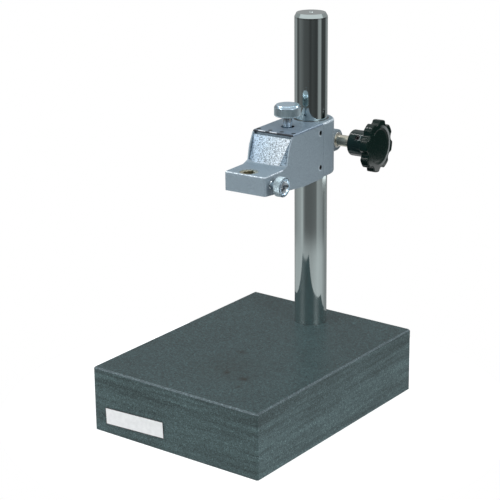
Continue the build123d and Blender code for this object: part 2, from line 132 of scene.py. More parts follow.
# Outlines of turned pieces, as radius and height along their axis in millimetres
SPINDLE_BODY = (
    (3.2, 10.2), (3.9, 10.7), (4.35, 10.7), (4.35, 23.2), (4.1, 23.6), (3.5, 23.6), (3.5, 36.7), (3.1, 37.1))
FINE_HEAD = (
    (3.4, 50.8), (9, 50.8), (9.5, 50.82), (10, 51.3), (10, 51.5), (10, 57.1), (10, 57.3),
    (9.85, 57.6), (8.85, 58.95), (8.6, 59.15), (8.2, 59.25), (7.4, 59.3), (4.6, 59.2), (1.2, 59.1))
FINE_SHANK = (
    (2.6, 0.6), (3, 1), (3, 15.05), (2.55, 15.05), (2.55, 15.85), (3, 15.85), (3, 15.9),
    (3.5, 15.9), (3.5, 40.1), (4.65, 40.1), (4.8, 40.25), (4.8, 41.1), (4.6, 41.3), (3.5, 41.3),
    (3.5, 43.6), (3.3, 43.75), (3.3, 44.1), (3.5, 44.25), (3.5, 49.9), (3.9, 50.4), (4.4, 50.9))
STEM_HEAD = (
    (2.9, 23.3), (6.4, 23.3), (6.8, 23.32), (7.3, 23.8), (7.3, 24), (7.3, 28.5), (7.3, 28.7), (6.8, 29.2),
    (6.4, 29.3), (5.5, 29.3), (5.25, 29.15), (4.9, 28.6), (4.3, 28.05), (3.4, 27.6), (2.2, 27.3), (0.9, 27.2))
STEM_NECK = ((2.4, 18), (2.6, 18.2), (2.95, 18.6), (2.95, 22.3), (3.3, 22.9), (3.3, 23.5))


# Settings that a user would change

class GraniteSettings(PropertyGroup):
    shade: FloatVectorProperty(
        name="Shade", description="Colour of the stone", subtype="COLOR", default=(0.066, 0.100, 0.105))
    grain: FloatProperty(
        name="Grain", description="Size of one crystal", unit="LENGTH", default=0.6 * MM)
    layer: FloatProperty(
        name="Layer", description="Height of one streak in the sides", unit="LENGTH", default=3.2 * MM)
    edge_shade: FloatVectorProperty(
        name="Edge shade", description="Colour of the ground edge", subtype="COLOR",
        default=(0.092, 0.124, 0.136))


class BracketSettings(PropertyGroup):
    shade: FloatVectorProperty(
        name="Shade", description="Colour of the satin faces", subtype="COLOR", default=(0.270, 0.342, 0.394))
    web_shade: FloatVectorProperty(
        name="Web shade", description="Colour of the rough cast web", subtype="COLOR",
        default=(0.52, 0.61, 0.68))
    grain: FloatProperty(
        name="Cast grain", description="Size of one lump of the cast skin", unit="LENGTH", default=0.8 * MM)
    relief: FloatProperty(
        name="Cast relief", description="Height of the cast skin's lumps", unit="LENGTH", default=0.22 * MM)


class MetalSettings(PropertyGroup):
    chrome: FloatVectorProperty(
        name="Chrome", description="Colour of the column", subtype="COLOR", default=(0.595, 0.69, 0.69))
    nickel: FloatVectorProperty(
        name="Nickel", description="Colour of the knurled screws", subtype="COLOR",
        default=(0.60, 0.69, 0.75))
    steel: FloatVectorProperty(
        name="Steel", description="Colour of the clamp spindle", subtype="COLOR", default=(0.47, 0.46, 0.39))
    brass: FloatVectorProperty(
        name="Brass", description="Colour of the stem bush", subtype="COLOR", default=(0.52, 0.50, 0.37))


class StudioSettings(PropertyGroup):
    azimuth: FloatProperty(
        name="Azimuth", description="Direction of the camera round the stand", subtype="ANGLE",
        default=math.radians(36.901))
    elevation: FloatProperty(
        name="Elevation", description="Height of the camera above the horizon", subtype="ANGLE",
        default=math.radians(18.366))
    roll: FloatProperty(
        name="Roll", description="Tilt of the camera", subtype="ANGLE", default=math.radians(-0.575))
    distance: FloatProperty(
        name="Distance", description="From the camera to its target", unit="LENGTH", default=1.235658)
    target: FloatVectorProperty(
        name="Target", description="Point in the middle of the picture", subtype="XYZ", unit="LENGTH",
        default=(-0.004817, 0.0, 0.126311))
    lens: FloatProperty(
        name="Lens", description="Focal length in millimetres", default=119.93)
    table_radius: FloatProperty(
        name="Table radius", description="Radius of the round pale table", unit="LENGTH", default=0.195)
    ring_radius: FloatProperty(
        name="Card distance", description="From the column to the reflection cards", unit="LENGTH",
        default=0.76)
    ring_top: FloatProperty(
        name="Card top", description="Height of the reflection cards' top edge", unit="LENGTH", default=0.7)
    left_power: FloatProperty(
        name="Left light", description="Power of the large soft light on the left, in watts", default=9.3)
    right_power: FloatProperty(
        name="Right light", description="Power of the large soft light on the right, in watts", default=9.1)


SETTINGS = {
    "stand_granite": GraniteSettings,
    "stand_bracket": BracketSettings,
    "stand_metal": MetalSettings,
    "stand_studio": StudioSettings,
}


# Node trees

class Nodes:
    """A node tree, with short calls for adding to it."""

    def __init__(self, tree):
        self.tree = tree

    def put(self, socket, value):
        if isinstance(value, bpy.types.NodeSocket):
            self.tree.links.new(value, socket)
        elif socket.type == "RGBA":
            socket.default_value = (*value[:3], 1)
        else:
            socket.default_value = value

    def add(self, kind, *ordered, **named):
        """Adds a node and feeds its inputs, in order or by their names."""
        node = self.tree.nodes.new("ShaderNode" + kind)
        for socket, value in zip(node.inputs, ordered):
            self.put(socket, value)
        for name, value in named.items():
            self.put(node.inputs[name], value)
        return node

    def math(self, operation, *values):
        node = self.add("Math", *values)
        node.operation = operation
        return node.outputs["Value"]

    def seen(self):
        """1 for rays that show the background: to the camera, in gloss and through glass."""
        rays = self.add("LightPath")
        either = self.math("MAXIMUM", rays.outputs["Is Camera Ray"], rays.outputs["Is Glossy Ray"])
        return self.math("MAXIMUM", either, rays.outputs["Is Transmission Ray"])


class Finish(Nodes):
    """One material and its nodes."""

    def __init__(self, name):
        self.material = bpy.data.materials.new(name)
        self.material.use_nodes = True
        super().__init__(self.material.node_tree)
        self.shader = self.tree.nodes["Principled BSDF"]
        coordinates = self.add("TexCoord")
        self.place = coordinates.outputs["Object"]
        self.facing = coordinates.outputs["Normal"]

    def surface(self, **values):
        """Sets the main shader's inputs by their names, in small letters with _ for a space."""
        sockets = {socket.name.lower().replace(" ", "_"): socket for socket in self.shader.inputs}
        for name, value in values.items():
            self.put(sockets[name], value)

    def feed(self, name):
        """What one of the main shader's inputs is linked to."""
        return self.shader.inputs[name].links[0].from_socket

    def stretched(self, scale):
        """The object's coordinates, scaled along each axis."""
        return self.add("Mapping", Vector=self.place, Scale=scale).outputs["Vector"]

    def framed(self, place):
        """The object's coordinates, measured from this place instead."""
        mapping = self.add(
            "Mapping", Vector=self.place, Location=place.to_translation(), Rotation=place.to_euler())
        mapping.vector_type = "TEXTURE"
        return mapping.outputs["Vector"]

    def jittered(self, size, reach):
        """The object's coordinates, pushed about this far by noise."""
        noise = self.add("TexNoise", Vector=self.place, Scale=1 / size)
        push = self.add("VectorMath", noise.outputs["Color"], (reach, reach, reach), self.place)
        push.operation = "MULTIPLY_ADD"
        return push.outputs["Vector"]

    def noise(self, size, detail=2.0, vector=None, roughness=0.5):
        """Soft noise whose lumps are about this large."""
        noise = self.add(
            "TexNoise", Vector=vector or self.place, Scale=1 / size, Detail=detail, Roughness=roughness)
        return noise.outputs["Fac"]

    def cells(self, size, output="Distance", vector=None):
        """Cells about this large."""
        return self.add("TexVoronoi", Vector=vector or self.place, Scale=1 / size).outputs[output]

    def ramp(self, value, *stops):
        """Colours or greys along a value, as (position, colour) pairs."""
        ramp = self.add("ValToRGB", value)
        elements = ramp.color_ramp.elements
        while len(elements) < len(stops):
            elements.new(0.5)
        for element, (position, colour) in zip(elements, stops):
            element.position = position
            element.color = (*colour, 1) if hasattr(colour, "__len__") else (colour, colour, colour, 1)
        return ramp.outputs["Color"]

    def over(self, value, limit):
        """1 where the value is above the limit, else 0."""
        return self.math("GREATER_THAN", value, limit)

    def under(self, value, limit):
        """1 where the value is below the limit, else 0."""
        return self.math("LESS_THAN", value, limit)

    def product(self, first, *others):
        for other in others:
            first = self.math("MULTIPLY", first, other)
        return first

    def hypot(self, first, second):
        """Length of a slanted line from its extent along two axes."""
        squares = (self.math("POWER", extent, 2.0) for extent in (first, second))
        return self.math("SQRT", self.math("ADD", *squares))

    def blend(self, share, first, second, kind="MIX"):
        """Mixes two colours."""
        node = self.add("Mix", share)
        node.data_type = "RGBA"
        node.blend_type = kind
        sockets = [socket for socket in (*node.inputs, *node.outputs) if socket.type == "RGBA"]
        self.put(sockets[0], first)
        self.put(sockets[1], second)
        return sockets[2]

    def tinted(self, colour, factor):
        """One colour times another."""
        return self.blend(1.0, colour, factor, "MULTIPLY")

    def axis(self, vector, name):
        return self.add("SeparateXYZ", vector).outputs[name]

    def off_axis(self, vector):
        """How far a point lies from its frame's Z axis."""
        return self.hypot(self.axis(vector, "X"), self.axis(vector, "Y"))

    def distance(self, point):
        """Distance from a point, in metres."""
        length = self.add("VectorMath", self.place, point)
        length.operation = "DISTANCE"
        return length.outputs["Value"]

    def relief(self, height, depth, strength=1.0, under=None):
        """Bumps this deep, on top of others if given."""
        bump = self.add("Bump", Height=height, Distance=depth, Strength=strength)
        if under:
            self.put(bump.inputs["Normal"], under)
        return bump.outputs["Normal"]


def tint(colour, factor):
    return tuple(channel * factor for channel in colour)


def dress(node, finish):
    """Gives a CAD node its look."""
    materials = frame["nodes"][node].data.materials
    materials.clear()
    materials.append(finish.material)


def stone_finish(settings):
    """Fine granite: mottled and polished on top, streaked and honed on its sides."""
    look = Finish("fine_dark_granite")
    height = look.axis(look.place, "Z")
    upward = look.axis(look.facing, "Z")
    on_top = look.over(upward, STRAIGHT)
    crystal = look.axis(look.cells(settings.grain, output="Color"), "X")
    fine = look.noise(settings.grain * 0.5, roughness=0.6)
    layers = look.noise(
        settings.layer, detail=3.0, roughness=0.55, vector=look.stretched((0.05, 0.05, 1.0)))
    clouds = look.noise(30 * MM, detail=3.0)
    patches = look.noise(3.2 * MM, detail=3.0, roughness=0.6)
    spots = look.noise(1.8 * MM, detail=3.0, roughness=0.75)
    speckle = look.ramp(crystal, (0.0, 0.52), (0.25, 0.84), (0.70, 1.04), (0.88, 1.35), (1.0, 1.95))
    grains = look.tinted(speckle, look.ramp(fine, (0.3, 0.55), (0.7, 1.50)))
    # the sides are sawn: streaked all round. Painted shade makes the front and back darker than the left and
    # right, and the left and right are darker towards the top
    side = look.tinted(grains, look.ramp(layers, (0.32, 0.70), (0.5, 1.0), (0.68, 1.26)))
    endways = look.over(look.math("ABSOLUTE", look.axis(look.facing, "X")), STRAIGHT)
    rising = look.ramp(
        look.math("DIVIDE", height, PLATE_TOP), (0.45, (1.10, 1.11, 1.10)), (0.85, (0.90, 0.90, 0.89)))
    side = look.tinted(side, look.blend(endways, (0.84, 0.88, 0.86), rising))
    # the polished top is darker than the sides: partly its own tone, partly painted shade
    calm = look.blend(0.9, (0.95, 0.95, 0.95), grains)
    calm = look.tinted(calm, look.ramp(spots, (0.34, 0.52), (0.66, 1.52)))
    calm = look.tinted(calm, (0.43, 0.535, 0.545))
    colour = look.tinted(settings.shade, look.blend(on_top, side, calm))
    colour = look.tinted(colour, look.ramp(clouds, (0.3, 0.90), (0.7, 1.08)))
    # worn, slightly brown marks where work has stood
    worn = 0.0
    for x, y, reach, depth in WORN_MARKS:
        near = look.math("DIVIDE", look.distance((x * MM, y * MM, PLATE_TOP)), reach * MM)
        ragged = look.math("ADD", near, look.product(patches, 0.8))
        worn = look.math("MAXIMUM", worn, look.ramp(ragged, (0.34, depth), (1.0, 0.0)))
    worn = look.product(worn, on_top)
    colour = look.blend(worn, colour, (0.016, 0.012, 0.009))
    # the ground edge is paler than the faces
    ground = look.product(look.under(upward, STRAIGHT), look.over(upward, 0.2))
    colour = look.blend(ground, colour, look.tinted(grains, settings.edge_shade))
    # dark joint round the column
    foot = look.distance((COLUMN_FOOT.x, COLUMN_FOOT.y, PLATE_TOP))
    joint = look.ramp(look.math("DIVIDE", foot, 20 * MM), (0.62, 1.0), (0.665, 0.0))
    colour = look.blend(joint, colour, (0.02, 0.024, 0.026))
    polish = look.ramp(look.noise(1.6 * MM, detail=4.0), (0.35, 0.27), (0.65, 0.40))
    polish = look.blend(worn, polish, (0.62, 0.62, 0.62))
    honed = look.ramp(fine, (0.3, 0.58), (0.7, 0.78))
    pits = look.product(look.math("SUBTRACT", 1.0, on_top), fine)
    look.surface(
        base_color=colour, roughness=look.blend(on_top, honed, polish), specular_ior_level=0.30,
        normal=look.relief(pits, 0.12 * MM, 0.7))
    return look


def chrome_finish(settings):
    """Ground and chromed, with faint smears along it and painted shade on its turned end."""
    look = Finish("hard_chrome")
    rings = look.noise(0.22 * MM, detail=3.0, vector=look.stretched((0.02, 0.02, 1.0)))
    smears = look.noise(9 * MM, detail=4.0, vector=look.stretched((1.0, 1.0, 0.35)))
    colour = look.blend(
        look.ramp(smears, (0.35, 0.0), (0.75, 0.35)), settings.chrome, tint(settings.chrome, 0.86))
    # painted shade on the reflection: the turned end is darker
    shaded_end = look.over(look.axis(look.place, "Z"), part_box("column")[1].z - COLUMN_END)
    colour = look.blend(shaded_end, colour, tint(settings.chrome, 0.80))
    look.surface(
        base_color=colour, metallic=1.0, roughness=look.ramp(smears, (0.3, 0.045), (0.75, 0.10)),
        normal=look.relief(rings, 0.004 * MM, 0.35))
    return look


def satin_finish(settings):
    """Machined and satin chromed faces of the bracket."""
    look = Finish("satin_chromed_casting")
    inside = look.framed(BRACKET)
    out, up = look.axis(inside, "Y"), look.axis(inside, "Z")
    upward = look.axis(look.facing, "Z")
    grain = look.noise(0.7 * MM, detail=4.0, roughness=0.7)
    clouds = look.noise(7 * MM, detail=4.0)
    colour = look.blend(
        look.ramp(grain, (0.36, 0.0), (0.64, 1.0)), tint(settings.shade, 0.72), tint(settings.shade, 1.25))
    colour = look.blend(look.ramp(clouds, (0.3, 0.0), (0.7, 0.30)), colour, tint(settings.shade, 0.90))
    # painted shade: faces that look straight up are darker
    colour = look.blend(look.over(upward, 0.97), colour, look.tinted(colour, (0.84, 0.88, 0.91)))
    # painted highlight on the top edges, and painted shade on them beside the web
    edge = look.product(
        look.ramp(upward, (0.18, 0.0), (0.40, 1.0)), look.ramp(upward, (0.80, 1.0), (0.97, 0.0)))
    beside_web = look.product(look.under(out, -CHEEK_EDGE_REACH), look.over(up, CHEEK_EDGE_FOOT))
    painted_highlight = look.product(edge, look.ramp(look.noise(1.4 * MM), (0.42, 0.10), (0.58, 0.95)))
    painted_highlight = look.product(painted_highlight, look.math("SUBTRACT", 1.0, beside_web))
    colour = look.blend(painted_highlight, colour, (0.74, 0.83, 0.90))
    colour = look.blend(look.product(beside_web, edge), colour, tint(settings.shade, 0.70))
    # painted shade in seats round the cheek screws, each with a painted highlight on a lip towards the front
    # and below
    depth = look.math("ADD", out, CHEEK_SCREW_ROW)
    for height in CHEEK_SCREW_HEIGHTS:
        rise = look.math("SUBTRACT", up, height)
        wide = look.math("DIVIDE", look.hypot(depth, rise), 4 * MM)
        low_front = look.under(look.math("ADD", depth, look.product(rise, 0.6)), -0.6 * MM)
        lip = look.product(
            look.ramp(wide, (0.45, 0.0), (0.52, 0.85), (0.66, 0.85), (0.72, 0.0)), low_front)
        colour = look.blend(look.ramp(wide, (0.45, 0.90), (0.50, 0.0)), colour, (0.020, 0.030, 0.036))
        colour = look.blend(lip, colour, (0.58, 0.68, 0.74))
    look.surface(
        base_color=colour, metallic=0.35, roughness=look.ramp(grain, (0.3, 0.46), (0.7, 0.60)),
        normal=look.relief(grain, 0.03 * MM, 0.5))
    return look


def cast_finish(settings):
    """Rough cast skin, pitted all over, with painted shade on one facet at its right end."""
    look = Finish("rough_cast_skin")
    inside = look.framed(BRACKET)
    across = look.axis(inside, "X")
    height = look.math("SUBTRACT", look.axis(inside, "Z"), DECK_HEIGHT)
    torn = look.jittered(settings.grain * 0.9, settings.grain * 1.5)
    grain = look.noise(settings.grain * 0.5, detail=4.0, roughness=0.7)
    hollows = look.noise(settings.grain * 1.1, detail=3.0, roughness=0.6)
    pits = look.product(
        look.ramp(look.cells(settings.grain * 1.15, vector=torn), (0.16, 0.25), (0.46, 1.0)),
        look.ramp(look.cells(settings.grain * 2.4, vector=torn), (0.16, 0.10), (0.36, 1.0)))
    pits = look.product(pits, look.ramp(hollows, (0.42, 0.35), (0.54, 1.0)))
    colour = look.blend(pits, tint(settings.web_shade, 0.16), settings.web_shade)
    # the light falls off from right to left
    fall = look.ramp(
        look.math("MULTIPLY_ADD", across, 20.0, 0.5), (0.17, (0.73, 0.86, 0.99)),
        (0.50, (0.86, 0.90, 0.93)), (0.80, (1.14, 1.10, 1.08)))
    colour = look.tinted(colour, fall)
    # painted shade: the facet at the right end is darker
    lean = (WEB_TOP_CORNER - WEB_FOOT_CORNER) / (WEB_TOP_HEIGHT - DECK_HEIGHT)
    beyond = look.math("SUBTRACT", across, look.math("MULTIPLY_ADD", height, lean, WEB_FOOT_CORNER))
    shaded_facet = look.ramp(look.math("MULTIPLY_ADD", beyond, 1 / MM, 0.5), (0.35, 0.0), (0.8, 1.0))
    colour = look.blend(shaded_facet, colour, look.tinted(colour, (0.59, 0.70, 0.79)))
    # painted highlight: a pale band just above the foot
    foot = look.ramp(look.math("DIVIDE", height, 1.6 * MM), (0.25, 0.55), (0.9, 0.0))
    colour = look.blend(foot, colour, (0.84, 0.92, 0.98))
    lumps = look.relief(look.cells(settings.grain), 0.10 * MM, 0.6)
    look.surface(
        base_color=colour, metallic=0.30, roughness=look.ramp(grain, (0.3, 0.30), (0.7, 0.48)),
        normal=look.relief(grain, 0.10 * MM, 0.8, under=lumps))
    return look


def metal_finish(name, colour, roughness, grain=0.3 * MM, metallic=1.0):
    """Bright or dull bare metal with fine turning marks and a little tarnish."""
    look = Finish(name)
    marks = look.noise(grain, detail=4.0, roughness=0.65)
    tarnish = look.noise(4 * MM, detail=4.0)
    shade = look.blend(look.ramp(tarnish, (0.35, 0.0), (0.7, 0.5)), colour, tint(colour, 0.78))
    shade = look.blend(look.ramp(marks, (0.35, 0.0), (0.65, 0.35)), shade, tint(colour, 0.88))
    look.surface(
        base_color=shade, metallic=metallic, normal=look.relief(marks, 0.01 * MM, 0.5),
        roughness=look.ramp(marks, (0.3, roughness * 0.75), (0.7, roughness * 1.25)))
    return look


def knurled_finish(name, nickel, place, rim, low, high):
    """Plated screw with turning rings on its ends and a rougher knurled rim, in the screw's own place.
    Painted shade darkens the rim and the crown's bevel, and a painted reflection makes the crown paler and
    bluer.
    """
    look = metal_finish(name, nickel, 0.17)
    inside = look.framed(place)
    reach = look.off_axis(inside)
    along = look.axis(inside, "Z")
    above = look.over(along, high)
    on_rim = look.product(look.over(reach, rim), look.over(along, low), look.under(along, high))
    shaded_bevel = look.product(above, look.over(reach, rim * 0.925))
    # painted reflection makes the crown paler and bluer, and painted shade darkens the bevel round it
    plating = look.blend(above, look.feed("Base Color"), (0.62, 0.84, 1.0))
    plating = look.blend(shaded_bevel, plating, (0.34, 0.44, 0.52))
    turning = look.noise(0.16 * MM, vector=look.add("CombineXYZ", reach).outputs[0])
    # painted shade: the knurled rim is darker than the plating; it is also rougher
    look.surface(
        base_color=look.blend(on_rim, plating, (0.37, 0.46, 0.50)),
        roughness=look.blend(on_rim, look.feed("Roughness"), (0.46, 0.46, 0.46)),
        normal=look.relief(turning, 0.012 * MM, 0.6, under=look.feed("Normal")))
    return look


def label_finish():
    """Satin foil with a fine dark line of painted shade round its edge."""
    look = metal_finish("satin_label_foil", (0.90, 0.91, 0.91), 0.40, grain=0.5 * MM, metallic=0.15)
    low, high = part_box("name_plate")
    flat = look.framed(Matrix.Translation((low + high) / 2) @ Matrix.Rotation(-LABEL_TILT, 4, "Y"))
    tall = LABEL_HEIGHT / 2
    wide = (high.x - low.x - LABEL_HEIGHT * math.sin(LABEL_TILT)) / math.cos(LABEL_TILT) / 2
    sideways = look.math("SUBTRACT", look.math("ABSOLUTE", look.axis(flat, "X")), wide - tall)
    far = look.math("MAXIMUM", sideways, look.math("ABSOLUTE", look.axis(flat, "Z")))
    # painted shade: a fine dark line round the edge
    line = look.over(far, tall - LABEL_LINE)
    look.surface(base_color=look.blend(line, look.feed("Base Color"), (0.018, 0.020, 0.022)))
    return look


def plate_finish():
    """Ground steel plate with fine lengthwise marks."""
    look = Finish("ground_steel_plate")
    across = look.axis(look.framed(BRACKET), "X")
    marks = look.noise(0.5 * MM, detail=4.0, roughness=0.6, vector=look.stretched((1.0, 0.12, 1.0)))
    clouds = look.noise(6 * MM, detail=3.0)
    shade = look.blend(look.ramp(marks, (0.3, 0.0), (0.7, 1.0)), (0.185, 0.235, 0.28), (0.27, 0.33, 0.385))
    shade = look.blend(look.ramp(clouds, (0.35, 0.0), (0.7, 0.4)), shade, (0.20, 0.25, 0.295))
    # painted shade: darker towards the left
    fall = look.ramp(
        look.math("MULTIPLY_ADD", across, 25.0, 0.5), (0.1, (0.78, 0.87, 0.92)), (0.8, (0.96, 1.03, 1.12)))
    shade = look.tinted(shade, fall)
    # painted shade blackens its front edge, with a painted highlight above it, but not at the screws
    front = look.under(look.axis(look.facing, "Y"), -0.35)
    shade = look.blend(front, shade, (0.030, 0.036, 0.045))
    slope = look.product(front, look.over(look.axis(look.facing, "Z"), 0.30))
    step = look.math("WRAP", across, PLATE_SCREW_SPACING, 0.0)
    from_screw = look.math("ABSOLUTE", look.math("SUBTRACT", step, PLATE_SCREW_SPACING / 2))
    painted_highlight = look.product(slope, look.over(from_screw, 1.9 * MM), look.under(across, 6 * MM))
    shade = look.blend(painted_highlight, shade, (0.44, 0.48, 0.52))
    look.surface(
        base_color=shade, metallic=0.5, roughness=look.ramp(marks, (0.3, 0.36), (0.7, 0.50)),
        normal=look.relief(marks, 0.02 * MM, 0.6))
    return look


def knob_finish():
    """Glossy black plastic with a greenish tinge and a little dust."""
    look = Finish("black_moulded_plastic")
    inside = look.framed(SPINDLE)
    along = look.axis(inside, "Z")
    dust = look.noise(0.5 * MM, detail=4.0, roughness=0.7)
    colour = look.blend(
        look.ramp(dust, (0.45, 0.0), (0.8, 0.6)), (0.0003, 0.0098, 0.0074), (0.0014, 0.0140, 0.0112))
    # painted light: the hub is a paler copy of the same plastic
    colour = look.blend(look.under(along, HUB_END), colour, (0.007, 0.029, 0.028))
    # painted highlight on a lip at the mouth of the set screw's hole, on the side away from the bracket
    wide = look.math("DIVIDE", look.distance(BRACKET @ HUB_SCREW_MOUTH), 4 * MM)
    beyond = look.over(look.axis(look.framed(BRACKET), "X"), HUB_SCREW_MOUTH.x + 0.55 * MM)
    lip = look.product(beyond, look.ramp(wide, (0.50, 0.0), (0.54, 0.8), (0.68, 0.8), (0.74, 0.0)))
    colour = look.blend(lip, colour, (0.36, 0.42, 0.42))
    # painted reflection on the lip of the dish, pale towards the back
    reach = look.math("DIVIDE", look.off_axis(inside), STAR_RADIUS)
    behind = look.math("DIVIDE", look.axis(inside, "Y"), STAR_RADIUS)
    ring = look.ramp(reach, (0.69, 0.0), (0.71, 1.0), (0.79, 1.0), (0.81, 0.0))
    painted_highlight = look.product(look.over(along, KNOB_FACE), ring, look.ramp(behind, (0.0, 0.0), (0.55, 1.0)))
    colour = look.blend(painted_highlight, colour, (0.24, 0.26, 0.26))
    look.surface(
        base_color=colour, roughness=look.ramp(dust, (0.35, 0.04), (0.75, 0.11)), specular_ior_level=0.29,
        normal=look.relief(look.noise(5 * MM), 0.04 * MM, 0.3))
    return look


# Modelling

def deselect_all():
    if bpy.context.object and bpy.context.object.mode != "OBJECT":
        bpy.ops.object.mode_set(mode="OBJECT")
    bpy.ops.object.select_all(action="DESELECT")


def take(piece):
    """Selects one piece alone and makes it active."""
    deselect_all()
    piece.select_set(True)
    bpy.context.view_layer.objects.active = piece


def begin(kind, **values):
    """Adds a primitive and opens it for shaping."""
    deselect_all()
    getattr(bpy.ops.mesh, f"primitive_{kind}_add")(**values)
    bpy.ops.object.mode_set(mode="EDIT")
    return bpy.context.object


def end(piece):
    """Closes a piece after shaping and moves its origin to the scene's."""
    bpy.ops.object.mode_set(mode="OBJECT")
    piece.data.transform(piece.matrix_world)
    piece.matrix_world = Matrix.Identity(4)
    return piece


def pick(piece, test, kind="FACE"):
    """In edit mode, selects only the faces or edges that pass the test."""
    bpy.ops.mesh.select_mode(type=kind)
    bpy.ops.mesh.select_all(action="DESELECT")
    mesh = bmesh.from_edit_mesh(piece.data)
    for part in {"FACE": mesh.faces, "EDGE": mesh.edges}[kind]:
        part.select_set(bool(test(part)))
    mesh.select_flush_mode()
    bmesh.update_edit_mesh(piece.data)


def face_outwards():
    """In edit mode, turns every face of a closed shape outwards."""
    bpy.ops.mesh.select_all(action="SELECT")
    bpy.ops.mesh.normals_make_consistent(inside=False)


def shape(piece, kind, **values):
    """Adds a modifier and applies it."""
    take(piece)
    modifier = piece.modifiers.new(kind.lower(), kind)
    for name, value in values.items():
        setattr(modifier, name, value)
    bpy.ops.object.modifier_apply(modifier=modifier.name)


def smooth(piece, degrees):
    """Shades edges flatter than this angle smooth."""
    take(piece)
    bpy.ops.object.shade_smooth_by_angle(angle=math.radians(degrees))


def soften(piece, width, degrees=40):
    """Rounds the sharp edges a little, as a deburred part has them."""
    shape(
        piece, "BEVEL", width=width, segments=2, limit_method="ANGLE", angle_limit=math.radians(degrees),
        harden_normals=False)
    smooth(piece, 50)
    shape(piece, "WEIGHTED_NORMAL", keep_sharp=True)


def settle(piece, name, finish, node, place=Matrix.Identity(4), replace=True):
    """Puts a piece where its CAD node is, and lets it ride and stand for it."""
    piece.name = piece.data.name = name
    piece.data.transform(place @ piece.matrix_world)
    piece.matrix_world = Matrix.Identity(4)
    piece.data.materials.clear()
    piece.data.materials.append(finish.material)
    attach(piece, BODIES[node])
    if replace:
        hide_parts(node)
    if not piece.data.polygons:
        raise RuntimeError(f"{name} has no faces")


def merged_copy(node):
    """A copy of a CAD node with its loose triangles joined into whole faces."""
    take(frame["nodes"][node])
    bpy.ops.object.duplicate()
    piece = bpy.context.object
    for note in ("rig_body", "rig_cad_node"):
        del piece[note]
    piece.parent = None
    bpy.ops.mesh.customdata_custom_splitnormals_clear()
    bpy.ops.object.mode_set(mode="EDIT")
    bpy.ops.mesh.select_all(action="SELECT")
    bpy.ops.mesh.remove_doubles(threshold=MERGE_DISTANCE)
    bpy.ops.mesh.dissolve_limited(angle_limit=math.radians(0.6))
    bpy.ops.object.mode_set(mode="OBJECT")
    return piece


def soft_copy(node, name, finish, width):
    """A copy of a CAD node in the node's place, its edges softened by this many millimetres."""
    piece = merged_copy(node)
    soften(piece, width * MM)
    settle(piece, name, finish, node)


def turned(outline, sides=96):
    """A disc drawn out and scaled from station to station along its outline, given in millimetres."""
    (radius, height), *others = [(reach * MM, rise * MM) for reach, rise in outline]
    piece = begin("circle", vertices=sides, radius=radius, fill_type="NGON", location=(0, 0, height))
    for next_radius, next_height in others:
        bpy.ops.mesh.extrude_region_move(TRANSFORM_OT_translate={"value": (0, 0, next_height - height)})
        share = next_radius / radius
        bpy.ops.transform.resize(value=(share, share, 1), center_override=(0, 0, next_height))
        radius, height = next_radius, next_height
    face_outwards()
    return end(piece)


def knurl(piece, radius, low, high, ridges, depth):
    """Presses straight grooves into the rim of a turned head."""
    for vertex in piece.data.vertices:
        x, y, z = vertex.co
        reach = math.hypot(x, y)
        if low < z < high and abs(reach - radius) < 0.02 * MM:
            phase = math.atan2(y, x) / math.tau * ridges
            groove = 2 * abs(phase - round(phase))
            share = 1 - depth * groove / reach
            vertex.co = (x * share, y * share, z)


def threaded_rod(root, crest, pitch, low, high):
    """Closed rod about Z with a screw thread, cut flat at both ends."""
    sides = 40
    piece = begin("circle", vertices=5, radius=crest)
    mesh = bmesh.from_edit_mesh(piece.data)
    mesh.verts.ensure_lookup_table()
    flank, land = 0.40 * pitch, 0.12 * pitch
    profile = ((root, 0), (crest, flank), (crest, flank + land), (root, 2 * flank + land), (root, pitch))
    for vertex, (radius, height) in zip(mesh.verts, profile):
        vertex.co = (radius, 0, low - 2 * pitch + height)
    bmesh.update_edit_mesh(piece.data)
    pick(piece, lambda edge: {v.index for v in edge.verts} == {0, 4}, "EDGE")
    bpy.ops.mesh.delete(type="EDGE")
    bpy.ops.object.mode_set(mode="OBJECT")
    shape(
        piece, "SCREW", axis="Z", screw_offset=pitch, iterations=math.ceil((high - low) / pitch) + 4,
        steps=sides, render_steps=sides, use_merge_vertices=False)
    bpy.ops.object.mode_set(mode="EDIT")
    bpy.ops.mesh.select_all(action="SELECT")
    bpy.ops.mesh.remove_doubles(threshold=MERGE_DISTANCE)
    for height, outwards in ((low, -1), (high, 1)):
        bpy.ops.mesh.select_all(action="SELECT")
        bpy.ops.mesh.bisect(
            plane_co=(0, 0, height), plane_no=(0, 0, outwards), use_fill=True, clear_outer=True)
    face_outwards()
    bpy.ops.object.mode_set(mode="OBJECT")
    return piece


def join(degrees, first, *others):
    """Shades the parts of one piece smooth up to this angle and joins them into the first."""
    for part in (first, *others):
        smooth(part, degrees)
    take(first)
    for other in others:
        other.select_set(True)
    bpy.ops.object.join()
    return first


class STAND_OT_granite(Operator):
    """Finishes the granite base"""
    bl_idname = "stand.granite"
    bl_label = "Granite base"

    def execute(self, context):
        dress("granite_base", stone_finish(context.scene.stand_granite))
        return {"FINISHED"}


class STAND_OT_column(Operator):
    """Finishes the column, and builds the bolt and washer under it with softened edges"""
    bl_idname = "stand.column"
    bl_label = "Column"

    def execute(self, context):
        dress("column", chrome_finish(context.scene.stand_metal))
        zinc = metal_finish("zinc_plated_steel", (0.60, 0.61, 0.58), 0.32)
        soft_copy("column_washer", "bolt_washer", zinc, 0.25)
        soft_copy("column_bolt", "socket_bolt", zinc, 0.35)
        return {"FINISHED"}


